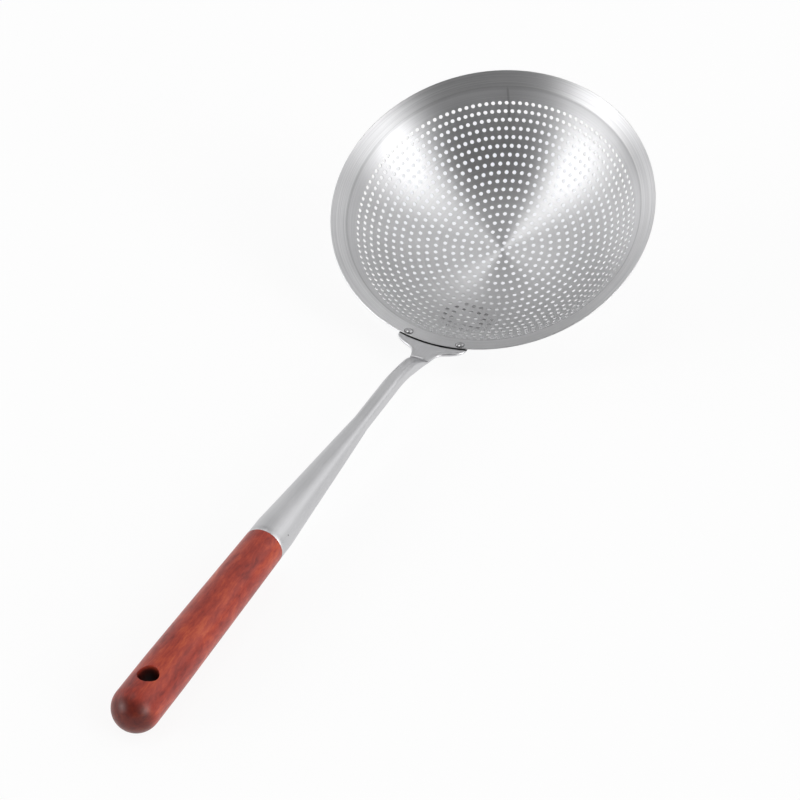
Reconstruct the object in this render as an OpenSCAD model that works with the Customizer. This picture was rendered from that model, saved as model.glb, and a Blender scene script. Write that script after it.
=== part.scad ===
// Slotted skimmer spoon: a spun steel bowl with rings of round perforations, a hollow steel arm
// riveted under the bowl's flange, and a turned wood grip with a hang hole. Millimetres, +Z up.
// The spoon lies as it comes to rest, tipped over until the end of its grip touches down.

/* [Bowl] */
// Diameter over the rim
rim_d = 180; // [160:1:200]
// Depth inside, from the edge of the rim down to the lowest point
bowl_depth = 47.1; // [42:0.1:52]
// Radius of the shallow base of the bowl
base_r = 198; // [160:1:240]
// Slope of the wall where the shallow base ends and the rounder shoulder begins, in degrees
base_slope = 7.7; // [5:0.1:10]
// Thickness of the spun sheet
sheet_t = 0.5; // [0.4:0.05:0.8]
// Width of the slanting flange around the rim, measured along its slope
flange_w = 9.5; // [8:0.1:12]
// Slope of the flange, in degrees
flange_slope = 29.5; // [24:0.5:34]

/* [Perforations] */
// Diameter of one perforation
hole_d = 2.3; // [1.6:0.1:2.8]
// Holes in each ring around the centre hole, from the innermost ring outwards
ring_holes = [6, 12, 18, 25, 33, 40, 45, 54, 60, 66, 72, 80, 90, 100, 100, 110, 120, 125];
// Rings that lie close together around the centre
close_rings = 3; // [2:1:4]
// Distance between those close rings, along the wall
close_pitch = 4.3; // [3.6:0.1:4.8]
// Plain band between the last ring of holes and the flange, along the wall
plain_band = 10.6; // [6:0.1:14]
// Turn from the line opposite the arm to the first hole of a ring, in degrees
ring_start = 5.8; // [0:0.1:10]
// Outer rings that start half a step off that line instead
stepped_rings = 3; // [0:1:5]

/* [Arm] */
// Width of the riveted wings from tip to tip
wing_w = 39.2; // [36:0.2:44]
// Reach of the wings outside the rim
wing_reach = 7.7; // [5:0.1:9]
// Thickness of the pressed flat wings
wing_t = 2; // [1.6:0.1:2.6]
// Rounding of the wings' edges
wing_edge_r = 0.9; // [0.4:0.1:1]
// Rounding of the wings' hidden corners under the flange
wing_corner_r = 3.2; // [2:0.1:4]
// Space between those corners and the bowl's wall, measured across the flange
wing_clear = 1.7; // [1:0.1:3]
// Width from the neck's side to where a wing turns into the neck
root_w = 5.5; // [4:0.1:7]
// How far past the crease the hollow curve from the wings runs out
root_past = 4; // [2:0.1:8]
// Distance from the rim's edge to the crease where the neck starts to rise
crease_at = 16; // [13:0.5:20]
// Length of the rising neck, from the crease to the straight arm
neck_len = 39; // [32:0.5:46]
// Length over which the flat wings turn into the hollow neck
neck_turn = 16; // [12:0.5:22]
// Height that the neck climbs over the plane of the flange
neck_rise = 5.3; // [4:0.1:8]
// Width of the arm at its neck
neck_w = 7.9; // [7:0.1:10]
// Height of the arm at its neck
neck_h = 7.8; // [7:0.1:10]
// Corner radius of the arm's section at the neck
neck_corner = 2.5; // [1.5:0.1:3.4]
// Slope of the straight arm, in degrees
arm_slope = 28.8; // [26:0.1:31]
// Length of the straight part that keeps the neck's section
slim_len = 35; // [20:0.5:50]
// Length of the part that widens to a round tube
flare_len = 98; // [80:1:120]
// Length of the round collar that takes the grip
collar_len = 12; // [8:0.5:16]
// Outer diameter of the collar
collar_d = 19.8; // [18:0.1:22]
// Wall of the hollow arm
arm_wall = 0.8; // [0.6:0.05:1.2]
// Step down from the collar to the arm that widens into it
collar_step = 0.05; // [0.03:0.01:0.1]

/* [Grip] */
// Length of the wood grip outside the collar
grip_len = 133.5; // [110:0.5:150]
// Diameter of the grip where it meets the collar
grip_neck_d = 19.9; // [18:0.1:22]
// Diameter of the grip at its thick end
grip_d = 22.4; // [20:0.1:25]
// Length over which the grip thickens
grip_taper = 96; // [60:1:100]
// Length of the straight part of the tenon, inside the collar
tenon_len = 11; // [6:0.5:14]
// Length of the tapered end of the tenon, inside the widening arm
tenon_tip = 10; // [6:0.5:16]
// Gap around the tenon
tenon_gap = 0.15; // [0.05:0.05:0.3]
// Diameter of the hang hole
hang_d = 10; // [6:0.1:12]
// Distance from the end of the grip to the middle of the hang hole
hang_at = 22; // [18:0.5:30]

/* [Rivets] */
// Distance between the two rivets
rivet_span = 29.8; // [24:0.2:32]
// Distance of the rivets in from the rim's edge, along the flange
rivet_in = 2.9; // [2.9:0.1:5]
// Diameter of a rivet's shank
rivet_d = 3; // [2.4:0.1:3.6]
// Diameter of a rivet's domed head
rivet_head_d = 5; // [4.4:0.1:6]
// Height of a rivet's domed head
rivet_head_h = 1.3; // [0.8:0.1:1.6]
// Diameter of a rivet's flat closing head, under the wings
closing_d = 4.4; // [4:0.1:5.4]
// Height of the closing head
closing_h = 0.8; // [0.5:0.1:1]
// Gap around a shank, and between the flange and the wings
rivet_gap = 0.05; // [0.02:0.01:0.1]

/* [Hidden] */
$fn = 96;
hole_fn = 16;
rivet_fn = 48;
turn_step = 15;
neck_step = 0.125;

// Profile of the bowl in its own frame: the rim's plane is z = 0 and the wall's inner face is drawn.
rim_r = rim_d / 2;
corner = [rim_r - flange_w * cos(flange_slope), -flange_w * sin(flange_slope)];
base_z = base_r - bowl_depth;
to_corner = [0, base_z] - corner;
to_joint = [sin(base_slope), -cos(base_slope)];
shift = (base_r * base_r - to_corner * to_corner) / (2 * (to_corner * to_joint + base_r));
shoulder_r = base_r - shift;
shoulder = [0, base_z] + shift * to_joint;
corner_slope = asin((corner.x - shoulder.x) / shoulder_r);
base_arc = base_r * base_slope * PI / 180;
full_arc = base_arc + shoulder_r * (corner_slope - base_slope) * PI / 180;

// Rings of perforations, by their distance along the wall from the centre.
rings = len(ring_holes);
ring_pitch = (full_arc - plain_band - close_rings * close_pitch) / (rings - close_rings);
function ring_arc(k) = k <= close_rings ? k * close_pitch
    : close_rings * close_pitch + (k - close_rings) * ring_pitch;
function slope_at(s) = s <= base_arc ? s / base_r * 180 / PI
    : base_slope + (s - base_arc) / shoulder_r * 180 / PI;
function wall_at(s) = s <= base_arc
    ? [base_r * sin(slope_at(s)), base_z - base_r * cos(slope_at(s))]
    : shoulder + shoulder_r * [sin(slope_at(s)), -cos(slope_at(s))];
// Every outer ring sits in a zone of its own, part of a sphere whose centre is on the bowl's axis.
function zone_z(s) = wall_at(s).y + wall_at(s).x / tan(slope_at(s));
function zone_r(s) = wall_at(s).x / sin(slope_at(s));
zones = concat([for (k = [1 : rings]) if (ring_arc(k) > base_arc) ring_arc(k)],
    [full_arc - plain_band / 3]);

// Line of the arm in the plane of symmetry: x runs away from the bowl, y is height.
function along(a) = [cos(a), sin(a)];
function across(a) = [-sin(a), cos(a)];
wing_mid = -sheet_t - rivet_gap - wing_t / 2;
function rising(q) = let (t = min(max((q - crease_at) / neck_len, 0), 1))
    wing_mid + (neck_rise - wing_mid) * (1 - (1 - t) * (1 - t));
function flange_pt(q, v) = [rim_r, 0] + q * along(flange_slope) + v * across(flange_slope);
arm_root = flange_pt(crease_at + neck_len, neck_rise);
function arm_pt(s) = arm_root + s * along(arm_slope);
collar_at = slim_len + flare_len;
joint_at = collar_at + collar_len;
grip_end_r = grip_d / 2;
end_ball = arm_pt(joint_at + grip_len - grip_end_r);

// Sections of the arm, each [x, z, slope, width, height, corner radius, share of the rim's curve].
function mix(a, b, t) = a + (b - a) * t;
// The wings' outline bulges round the tips and is hollow towards the neck, each by a power of its own.
tip_power = 1.6;
root_power = 1.3;
neck_half = neck_w / 2;
wing_half = wing_w / 2;
root_half = neck_half + root_w;
wing_turn = wing_reach / cos(flange_slope);
root_end = crease_at + root_past;
edge_q = (corner.x + sheet_t + wing_clear - rim_r) / cos(flange_slope);
function root_q(a) = root_end - (root_end - wing_turn) * pow(cos(a), 2 / root_power);
function root_y(q) = let (x = min(max((root_end - q) / (root_end - wing_turn), 0), 1))
    neck_half + root_w * (1 - pow(1 - pow(x, root_power), 1 / root_power));
function wing_part(q, half_w) = let (p = flange_pt(q, wing_mid))
    [p.x, p.y, flange_slope, 2 * half_w, wing_t, wing_edge_r, 1];
function neck_part(q, t) = let (h = mix(wing_t, neck_h, sin(90 * t)),
    p = flange_pt(q, rising(q)), bow = neck_rise - wing_mid,
    turn = atan(2 * bow / neck_len * (1 - min(max((q - crease_at) / neck_len, 0), 1))))
    [p.x, p.y, flange_slope + turn * t, 2 * root_y(q), h, mix(wing_edge_r, neck_corner, t), 1 - t];
flare_d = collar_d - 2 * collar_step;
function flare_part(s, t) = let (p = arm_pt(s), e = sin(90 * t))
    [p.x, p.y, arm_slope, mix(neck_w, flare_d, t), mix(neck_h, flare_d, t),
     mix(neck_corner / neck_h, 1 / 2, e) * mix(neck_h, flare_d, t), 0];
wing_side = [
    for (a = [0 : 2 * turn_step : 90]) wing_part(edge_q + wing_corner_r * (1 - cos(a)),
        wing_half - wing_corner_r * (1 - sin(a))),
    for (a = [0 : turn_step : 90]) wing_part(wing_turn * pow(sin(a), 2 / tip_power),
        root_half + (wing_half - root_half) * pow(cos(a), 2 / tip_power)),
    for (a = [turn_step : turn_step : 90]) let (q = root_q(a))
        if (q < crease_at - wing_edge_r) wing_part(q, root_y(q))];
neck_side = [for (t = [0 : neck_step : 1]) neck_part(crease_at + neck_turn * t, t)];
rise_side = [for (t = [2 * neck_step : 2 * neck_step : 1 - neck_step])
    neck_part(mix(crease_at + neck_turn, crease_at + neck_len, t), 1)];
flare_side = [for (t = [0, 1]) flare_part(slim_len * t, 0),
    for (t = [neck_step : neck_step : 1]) flare_part(slim_len + flare_len * t, t)];
flare_end = [flare_part(collar_at + arm_wall, 1)];
sections = concat(wing_side, neck_side, rise_side, flare_side, flare_end);
function inset(p) = [p[0], p[1], p[2], p[3] - 2 * arm_wall, p[4] - 2 * arm_wall,
    max(p[5] - arm_wall, arm_wall / 2), p[6]];
cavity = [for (p = concat([for (t = [3 * neck_step : neck_step : 1]) neck_part(crease_at + neck_turn * t, t)],
    rise_side, flare_side, flare_end)) inset(p)];

// The spoon rests on the bowl's shoulder and on the ball of the grip's end.
span = end_ball - shoulder;
rest_tilt = atan2(span.y, span.x) + asin((shoulder_r + sheet_t - grip_end_r) / norm(span));
function turned(p) = [p.x * cos(rest_tilt) + p.y * sin(rest_tilt),
    p.y * cos(rest_tilt) - p.x * sin(rest_tilt)];
floor_z = turned(end_ball).y - grip_end_r;
far_x = min(turned([-rim_r, -sheet_t / cos(flange_slope)]).x,
    turned([-shoulder.x, shoulder.y]).x - shoulder_r - sheet_t);
mid_x = (far_x + turned(end_ball).x + grip_end_r) / 2;
big = 2 * rim_d;
past = 5;
overlap = 0.1;

module at_rest() {
    translate([-mid_x, 0, -floor_z]) rotate([0, rest_tilt, 0]) children();
}

// Moves a piece drawn along +Z from its middle out to a point of the arm's axis.
module on_arm(s) {
    translate([arm_pt(s).x, 0, arm_pt(s).y]) rotate([0, 90 - arm_slope, 0]) children();
}

// Area under the wall's face, grown outwards by t.
module lens(t) {
    intersection() {
        translate([0, base_z]) circle(r = base_r + t);
        intersection_for (s = zones) translate([0, zone_z(s)]) circle(r = zone_r(s) + t);
    }
}

// Area over the flange's face, lowered by t and drawn out to a radius r.
module flange_area(t, r) {
    drop = t / cos(flange_slope);
    low = corner - past * along(flange_slope);
    high = (r - rim_r) * tan(flange_slope) - drop;
    polygon([[0, low.y - drop], [low.x, low.y - drop], [r, high], [r, rim_r], [0, rim_r]]);
}

module bowl_wall() {
    rotate_extrude(angle = 360) difference() {
        intersection() {
            union() {
                lens(sheet_t);
                flange_area(sheet_t, rim_r);
            }
            translate([0, -big]) square([big, big + sheet_t]);
        }
        union() {
            lens(0);
            flange_area(0, rim_r + past);
        }
        translate([0, -big]) square([hole_d / 2, big]);
    }
}

// One ring of perforations, each cut by a ball in the middle of the sheet.
module ring_cut(k) {
    s = ring_arc(k);
    mid = wall_at(s) + sheet_t / 2 * [sin(slope_at(s)), -cos(slope_at(s))];
    step = 360 / ring_holes[k - 1];
    start = 180 + (k > rings - stepped_rings ? step / 2 : ring_start);
    for (i = [0 : ring_holes[k - 1] - 1]) rotate([0, 0, start + i * step])
        translate([mid.x, 0, mid.y]) rotate([0, -slope_at(s), 0]) sphere(d = hole_d, $fn = hole_fn);
}

rivet_turn = asin(rivet_span / 2 / (rim_r - rivet_in * cos(flange_slope)));

// Moves a piece drawn along +Z, from the flange's upper face, out to the rivet on one side.
module at_rivet(side) {
    p = flange_pt(-rivet_in, 0);
    rotate([0, 0, side * rivet_turn]) translate([p.x, 0, p.y]) rotate([0, -flange_slope, 0])
        children();
}

module rivet_hole(side) {
    at_rivet(side) translate([0, 0, -sheet_t - wing_t - past])
        cylinder(d = rivet_d + 2 * rivet_gap, h = sheet_t + wing_t + 2 * past, $fn = rivet_fn);
}

// The wall with its perforations, cut a few rings at a time from the centre outwards.
rings_per_cut = 5;
module drilled(k) {
    if (k < 1) bowl_wall();
    else difference() {
        drilled(k - rings_per_cut);
        for (i = [max(k - rings_per_cut + 1, 1) : k]) ring_cut(i);
    }
}

module bowl() {
    color("silver") at_rest() difference() {
        drilled(rings);
        rivet_hole(-1);
        rivet_hole(1);
    }
}

// One point of a section: a corner arc carried round a smaller box, then bent to the rim's curve.
section_pts = 32;
function section_pt(p, a) = let (
    y = (p[3] / 2 - p[5]) * min(max(1.25 * cos(a), -1), 1) + p[5] * cos(a),
    v = (p[4] / 2 - p[5]) * min(max(1.25 * sin(a), -1), 1) + p[5] * sin(a),
    x = p[0] - v * sin(p[2]),
    bow = p[6] * (x - sqrt(x * x - y * y)))
    [x - bow, y, p[1] + v * cos(p[2])];

// Skins a list of sections, closed at both ends by strips that join each upper point to a lower one.
module loft(list) {
    n = section_pts;
    last = (len(list) - 1) * n;
    points = [for (p = list) for (j = [0 : n - 1]) section_pt(p, (j + 0.5) * 360 / n)];
    sides = [for (i = [0 : len(list) - 2]) for (j = [0 : n - 1])
        let (a = i * n + j, b = i * n + (j + 1) % n) each [[b + n, b, a], [a + n, b + n, a]]];
    first_cap = [for (j = [0 : n / 2 - 2]) each
        [[j + 1, n - 1 - j, j], [n - 2 - j, n - 1 - j, j + 1]]];
    last_cap = [for (j = [0 : n / 2 - 2]) each
        [[last + n - 1 - j, last + j + 1, last + j],
         [last + n - 1 - j, last + n - 2 - j, last + j + 1]]];
    polyhedron(points, concat(sides, first_cap, last_cap), convexity = 6);
}

module arm() {
    color("lightgray") at_rest() difference() {
        union() {
            loft(sections);
            on_arm(collar_at) cylinder(d = collar_d, h = collar_len);
        }
        loft(cavity);
        on_arm(collar_at) cylinder(d = collar_d - 2 * arm_wall, h = collar_len + past);
        rivet_hole(-1);
        rivet_hole(1);
    }
}

// Half outline of the turned grip, with its tenon below zero.
module grip_outline() {
    neck_r = collar_d / 2 - arm_wall - tenon_gap;
    tip_s = collar_at - tenon_tip;
    tip_r = mix(neck_h, flare_d, (tip_s - slim_len) / flare_len) / 2 - arm_wall - 3 * tenon_gap;
    deep = collar_len - collar_step;
    polygon([[0, -deep - tenon_tip], [tip_r, -deep - tenon_tip], [neck_r, -tenon_len],
        [neck_r, 0], [grip_neck_d / 2, 0], [grip_d / 2, grip_taper],
        [grip_d / 2, grip_len - grip_end_r], [0, grip_len - grip_end_r]]);
}

module grip() {
    color("firebrick") at_rest() on_arm(joint_at) difference() {
        union() {
            rotate_extrude(angle = 360) grip_outline();
            translate([0, 0, grip_len - grip_end_r]) sphere(r = grip_end_r);
        }
        translate([-grip_d, 0, grip_len - hang_at]) rotate([0, 90, 0])
            cylinder(d = hang_d, h = 2 * grip_d);
    }
}

// One rivet: a domed head on the flange, a shank, and a flat closing head under the wings.
module rivet(side) {
    dome_r = (pow(rivet_head_d / 2, 2) + pow(rivet_head_h, 2)) / (2 * rivet_head_h);
    under = sheet_t + rivet_gap + wing_t;
    color("silver") at_rest() at_rivet(side) union() {
        rotate_extrude(angle = 360) intersection() {
            translate([0, rivet_head_h - dome_r]) circle(r = dome_r);
            square([rivet_head_d, rivet_head_h]);
        }
        translate([0, 0, -under - overlap]) cylinder(d = rivet_d, h = under + 2 * overlap);
        translate([0, 0, -under - closing_h]) cylinder(d = closing_d, h = closing_h);
    }
}

module rivet_left() { rivet(-1); }

module rivet_right() { rivet(1); }

bowl();
arm();
grip();
rivet_left();
rivet_right();
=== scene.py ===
import math

import bmesh
import bpy
import numpy as np
from mathutils import Matrix, Vector


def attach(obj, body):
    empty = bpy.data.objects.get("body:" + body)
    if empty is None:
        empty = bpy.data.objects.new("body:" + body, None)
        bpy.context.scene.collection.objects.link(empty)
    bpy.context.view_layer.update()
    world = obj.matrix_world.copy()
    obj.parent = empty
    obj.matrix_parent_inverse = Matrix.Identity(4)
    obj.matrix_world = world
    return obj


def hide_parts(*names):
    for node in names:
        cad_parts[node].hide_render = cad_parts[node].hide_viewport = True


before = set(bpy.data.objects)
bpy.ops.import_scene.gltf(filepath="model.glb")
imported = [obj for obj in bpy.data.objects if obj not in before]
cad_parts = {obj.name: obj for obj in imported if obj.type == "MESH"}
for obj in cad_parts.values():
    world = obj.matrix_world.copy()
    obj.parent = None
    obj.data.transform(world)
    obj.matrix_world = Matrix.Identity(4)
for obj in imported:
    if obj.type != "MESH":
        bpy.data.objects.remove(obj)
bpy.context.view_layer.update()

# Perforated skimmer: spun steel bowl, hollow steel arm, turned wood grip.
# Shapes are worked out in millimetres in the spoon's own frame: zero in the middle of the rim, x towards
# the arm, z up the bowl's axis. atRest turns that frame to how the spoon lies, in metres.


def cosD(a):
    return math.cos(math.radians(a))


def sinD(a):
    return math.sin(math.radians(a))


def along(a):
    return np.array([cosD(a), sinD(a)])


def across(a):
    return np.array([-sinD(a), cosD(a)])


def newPiece(name, verts, faces, normals=None, smooth=True):
    mesh = bpy.data.meshes.new(name)
    mesh.from_pydata(np.asarray(verts).tolist(), [], [list(f) for f in faces])
    mesh.update()
    if smooth:
        mesh.shade_smooth()
    if normals is not None:
        mesh.normals_split_custom_set(normals)
    piece = bpy.data.objects.new(name, mesh)
    bpy.context.scene.collection.objects.link(piece)
    return piece


def newTree(material):
    material.use_nodes = True
    tree = material.node_tree
    tree.nodes.clear()
    return tree


class Maker:
    def __init__(self, tree):
        self.tree = tree

    def node(self, kind, inputs=None, **settings):
        n = self.tree.nodes.new(kind)
        for k, v in settings.items():
            setattr(n, k, v)
        for k, v in (inputs or {}).items():
            if hasattr(v, "is_output"):
                self.tree.links.new(v, n.inputs[k])
            else:
                n.inputs[k].default_value = v
        return n

    def math(self, operation, a, b=None, c=None):
        values = {0: a}
        if b is not None:
            values[1] = b
        if c is not None:
            values[2] = c
        return self.node("ShaderNodeMath", values, operation=operation).outputs[0]

    def vector(self, operation, a, b=None):
        values = {0: a}
        if b is not None:
            values[1] = b
        n = self.node("ShaderNodeVectorMath", values, operation=operation)
        isNumber = operation in ("LENGTH", "DOT_PRODUCT", "DISTANCE")
        return n.outputs["Value"] if isNumber else n.outputs[0]

    def scaled(self, vector, factor):
        return self.node("ShaderNodeVectorMath", {0: vector, "Scale": factor}, operation="SCALE").outputs[0]

    def ramp(self, value, stops, interpolation="LINEAR"):
        n = self.node("ShaderNodeValToRGB", {0: value})
        n.color_ramp.interpolation = interpolation
        while len(n.color_ramp.elements) > 1:
            n.color_ramp.elements.remove(n.color_ramp.elements[-1])
        first = n.color_ramp.elements[0]
        first.position, first.color = stops[0][0], (*stops[0][1], 1)
        for place, colour in stops[1:]:
            n.color_ramp.elements.new(place).color = (*colour, 1)
        return n.outputs[0]

    def mapRange(self, value, a, b, c, d, kind="LINEAR"):
        return self.node("ShaderNodeMapRange", {0: value, 1: a, 2: b, 3: c, 4: d},
                         interpolation_type=kind).outputs[0]

    def here(self):
        return self.node("ShaderNodeTexCoord").outputs["Object"]

    def split(self, vector):
        return self.node("ShaderNodeSeparateXYZ", {0: vector}).outputs

    def mapping(self, vector, kind, **inputs):
        return self.node("ShaderNodeMapping", {"Vector": vector, **inputs}, vector_type=kind).outputs[0]

    def noise(self, vector, scale, detail, roughness=0.5):
        return self.node("ShaderNodeTexNoise", {"Vector": vector, "Scale": scale, "Detail": detail,
                                                "Roughness": roughness})

    def bump(self, height, strength, distance):
        return self.node("ShaderNodeBump", {"Height": height, "Strength": strength,
                                            "Distance": distance}).outputs[0]


def throughTree(source, tree, values):
    modifier = source.modifiers.new(tree.name, "NODES")
    modifier.node_group = tree
    for item in tree.interface.items_tree:
        if item.item_type == "SOCKET" and item.in_out == "INPUT" and item.name in values:
            modifier[item.identifier] = values[item.name]
    bpy.context.view_layer.update()
    graph = bpy.context.evaluated_depsgraph_get()
    mesh = bpy.data.meshes.new_from_object(source.evaluated_get(graph), depsgraph=graph)
    source.modifiers.remove(modifier)
    return mesh


def mixed(a, b, t):
    return a + (b - a) * t


def loftSkin(name, rings, material):
    count, n = len(rings), len(rings[0])
    verts = np.concatenate(rings)
    faces = []
    for i in range(count - 1):
        for j in range(n):
            k = (j + 1) % n
            faces.append((i * n + j, i * n + k, (i + 1) * n + k, (i + 1) * n + j))
    half = n // 2
    for base, flip in ((0, True), ((count - 1) * n, False)):
        for j in range(half - 1):
            f = [base + j, base + j + 1, base + n - 2 - j, base + n - 1 - j]
            faces.append(f[::-1] if flip else f)
    piece = newPiece(name, atRest(verts), faces)
    piece.data.materials.append(material)
    return piece


def latheMesh(outline, around):  # outline from the top of the axis outwards and down, as (radius, height)
    verts, faces, rings = [], [], []
    for r, z in outline:
        if r < 1e-6:
            rings.append([len(verts)])
            verts.append((0, 0, z))
        else:
            rings.append(list(range(len(verts), len(verts) + around)))
            verts += [(r * math.cos(2 * math.pi * i / around), r * math.sin(2 * math.pi * i / around), z)
                      for i in range(around)]
    for upper, lower in zip(rings, rings[1:]):
        for i in range(around):
            j = (i + 1) % around
            u = [upper[i % len(upper)], upper[j % len(upper)]]
            w = [lower[i % len(lower)], lower[j % len(lower)]]
            f = [u[0], w[0], w[1], u[1]]
            faces.append([v for k, v in enumerate(f) if v not in f[:k]])
    return verts, faces


bowl = {
    "rimRadius": 90.0, "depth": 47.1, "baseRadius": 198.0, "baseSlope": 7.7,
    "sheet": 0.5, "flangeWidth": 9.5, "flangeSlope": 29.5, "bend": 0.9,
    "holes": [6, 12, 18, 25, 33, 40, 45, 54, 60, 66, 72, 80, 90, 100, 100, 110, 120, 125],
    "holeDiameter": 2.3, "closeRings": 3, "closePitch": 4.3, "plainBand": 10.6,
    "ringStart": 5.8, "steppedRings": 3, "holeSides": 20, "around": 360, "rimInset": 0.44,
    # the profile's points, the share of a pitch from the last holes to the plain rows, and those rows
    "wallPoints": 900, "bendPoints": 12, "sheetEdge": 0.45, "rowClear": 0.4, "rowEvery": 12, "rowFirst": 6,
}

# The bowl's profile: a shallow base, a rounder shoulder, a small bend, and the slanting flange.
rimR = bowl["rimRadius"]
flangeCorner = np.array([rimR, 0.0]) - bowl["flangeWidth"] * along(bowl["flangeSlope"])
baseZ = bowl["baseRadius"] - bowl["depth"]
toCorner = np.array([0.0, baseZ]) - flangeCorner
toJoint = np.array([sinD(bowl["baseSlope"]), -cosD(bowl["baseSlope"])])
shift = ((bowl["baseRadius"] ** 2 - toCorner @ toCorner)
         / (2 * (toCorner @ toJoint + bowl["baseRadius"])))
shoulderR = bowl["baseRadius"] - shift
shoulder = np.array([0.0, baseZ]) + shift * toJoint
cornerSlope = math.degrees(math.asin((flangeCorner[0] - shoulder[0]) / shoulderR))
baseArc = bowl["baseRadius"] * math.radians(bowl["baseSlope"])
fullArc = baseArc + shoulderR * math.radians(cornerSlope - bowl["baseSlope"])


def flangePoint(q, v):  # q past the rim along the flange, v above its upper face
    return np.array([rimR, 0.0]) + q * along(bowl["flangeSlope"]) + v * across(bowl["flangeSlope"])


def slopeAt(s):  # s along the wall from the bowl's middle
    if s <= baseArc:
        return math.degrees(s / bowl["baseRadius"])
    return bowl["baseSlope"] + math.degrees((s - baseArc) / shoulderR)


def wallAt(s):
    a = slopeAt(s)
    turn = np.array([sinD(a), -cosD(a)])
    if s <= baseArc:
        return np.array([0.0, baseZ]) + bowl["baseRadius"] * turn
    return shoulder + shoulderR * turn


holeRings = len(bowl["holes"])
lastRing = fullArc - bowl["plainBand"]
closeArc = bowl["closeRings"] * bowl["closePitch"]
ringPitch = (lastRing - closeArc) / (holeRings - bowl["closeRings"])


def ringArc(k):
    if k <= bowl["closeRings"]:
        return k * bowl["closePitch"]
    return closeArc + (k - bowl["closeRings"]) * ringPitch


# The inner face as a dense table of radius, height and slope, with the bend into the flange rounded.
bendR = bowl["bend"]
bendTurn = math.radians(cornerSlope - bowl["flangeSlope"])
bendCut = bendR * math.tan(bendTurn / 2)
profile = []
for s in np.linspace(0, fullArc - bendCut, bowl["wallPoints"]):
    profile.append((*wallAt(s), slopeAt(s)))
startBend = np.array(profile[-1][:2])
slopeIn = profile[-1][2]
centreBend = startBend - bendR * np.array([-sinD(slopeIn), cosD(slopeIn)])
for t in np.linspace(0, 1, bowl["bendPoints"])[1:]:
    a = slopeIn + (bowl["flangeSlope"] - slopeIn) * t
    profile.append((*(centreBend + bendR * np.array([-sinD(a), cosD(a)])), a))
lastBend = np.array(profile[-1][:2])
rimTop = np.array([rimR, 0.0]) - bowl["rimInset"] * along(bowl["flangeSlope"])
for t in np.linspace(0, 1, bowl["bendPoints"])[1:]:
    profile.append((*(lastBend + (rimTop - lastBend) * t), bowl["flangeSlope"]))
profile = np.array(profile)


def perforationTree():
    tree = bpy.data.node_groups.new("perforatedSheet", "GeometryNodeTree")
    face = tree.interface
    for name, kind in (("Geometry", "NodeSocketGeometry"), ("Hole diameter", "NodeSocketFloat"),
                       ("Hole sides", "NodeSocketInt"), ("Sheet radius", "NodeSocketFloat"),
                       ("Edge points", "NodeSocketInt"), ("Steel", "NodeSocketMaterial")):
        face.new_socket(name, in_out="INPUT", socket_type=kind)
    face.new_socket("Geometry", in_out="OUTPUT", socket_type="NodeSocketGeometry")
    add, link = tree.nodes.new, tree.links.new
    start, end = add("NodeGroupInput"), add("NodeGroupOutput")
    points = add("GeometryNodeMeshToPoints")
    turn, squash = add("GeometryNodeInputNamedAttribute"), add("GeometryNodeInputNamedAttribute")
    for n, name in ((turn, "turn"), (squash, "squash")):
        n.data_type = "FLOAT"
        n.inputs["Name"].default_value = name
    hole = add("GeometryNodeCurvePrimitiveCircle")
    hole.inputs["Radius"].default_value = 0.5
    angle, size = add("ShaderNodeCombineXYZ"), add("ShaderNodeCombineXYZ")
    grow = add("ShaderNodeVectorMath")
    grow.operation = "SCALE"
    size.inputs["Y"].default_value = size.inputs["Z"].default_value = 1.0
    place, real = add("GeometryNodeInstanceOnPoints"), add("GeometryNodeRealizeInstances")
    edge, both = add("GeometryNodeCurvePrimitiveCircle"), add("GeometryNodeJoinGeometry")
    fill, coat = add("GeometryNodeFillCurve"), add("GeometryNodeSetMaterial")
    link(start.outputs["Geometry"], points.inputs[0])
    link(start.outputs["Hole sides"], hole.inputs["Resolution"])
    link(turn.outputs[0], angle.inputs["Z"])
    link(squash.outputs[0], size.inputs["X"])
    link(size.outputs[0], grow.inputs[0])
    link(start.outputs["Hole diameter"], grow.inputs["Scale"])
    link(points.outputs[0], place.inputs["Points"])
    link(hole.outputs[0], place.inputs["Instance"])
    link(angle.outputs[0], place.inputs["Rotation"])
    link(grow.outputs[0], place.inputs["Scale"])
    link(start.outputs["Sheet radius"], edge.inputs["Radius"])
    link(start.outputs["Edge points"], edge.inputs["Resolution"])
    link(place.outputs[0], both.inputs[0])
    link(edge.outputs[0], both.inputs[0])
    link(both.outputs[0], real.inputs[0])
    link(real.outputs[0], fill.inputs[0])
    link(fill.outputs[0], coat.inputs[0])
    link(start.outputs["Steel"], coat.inputs["Material"])
    link(coat.outputs[0], end.inputs[0])
    return tree


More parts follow.
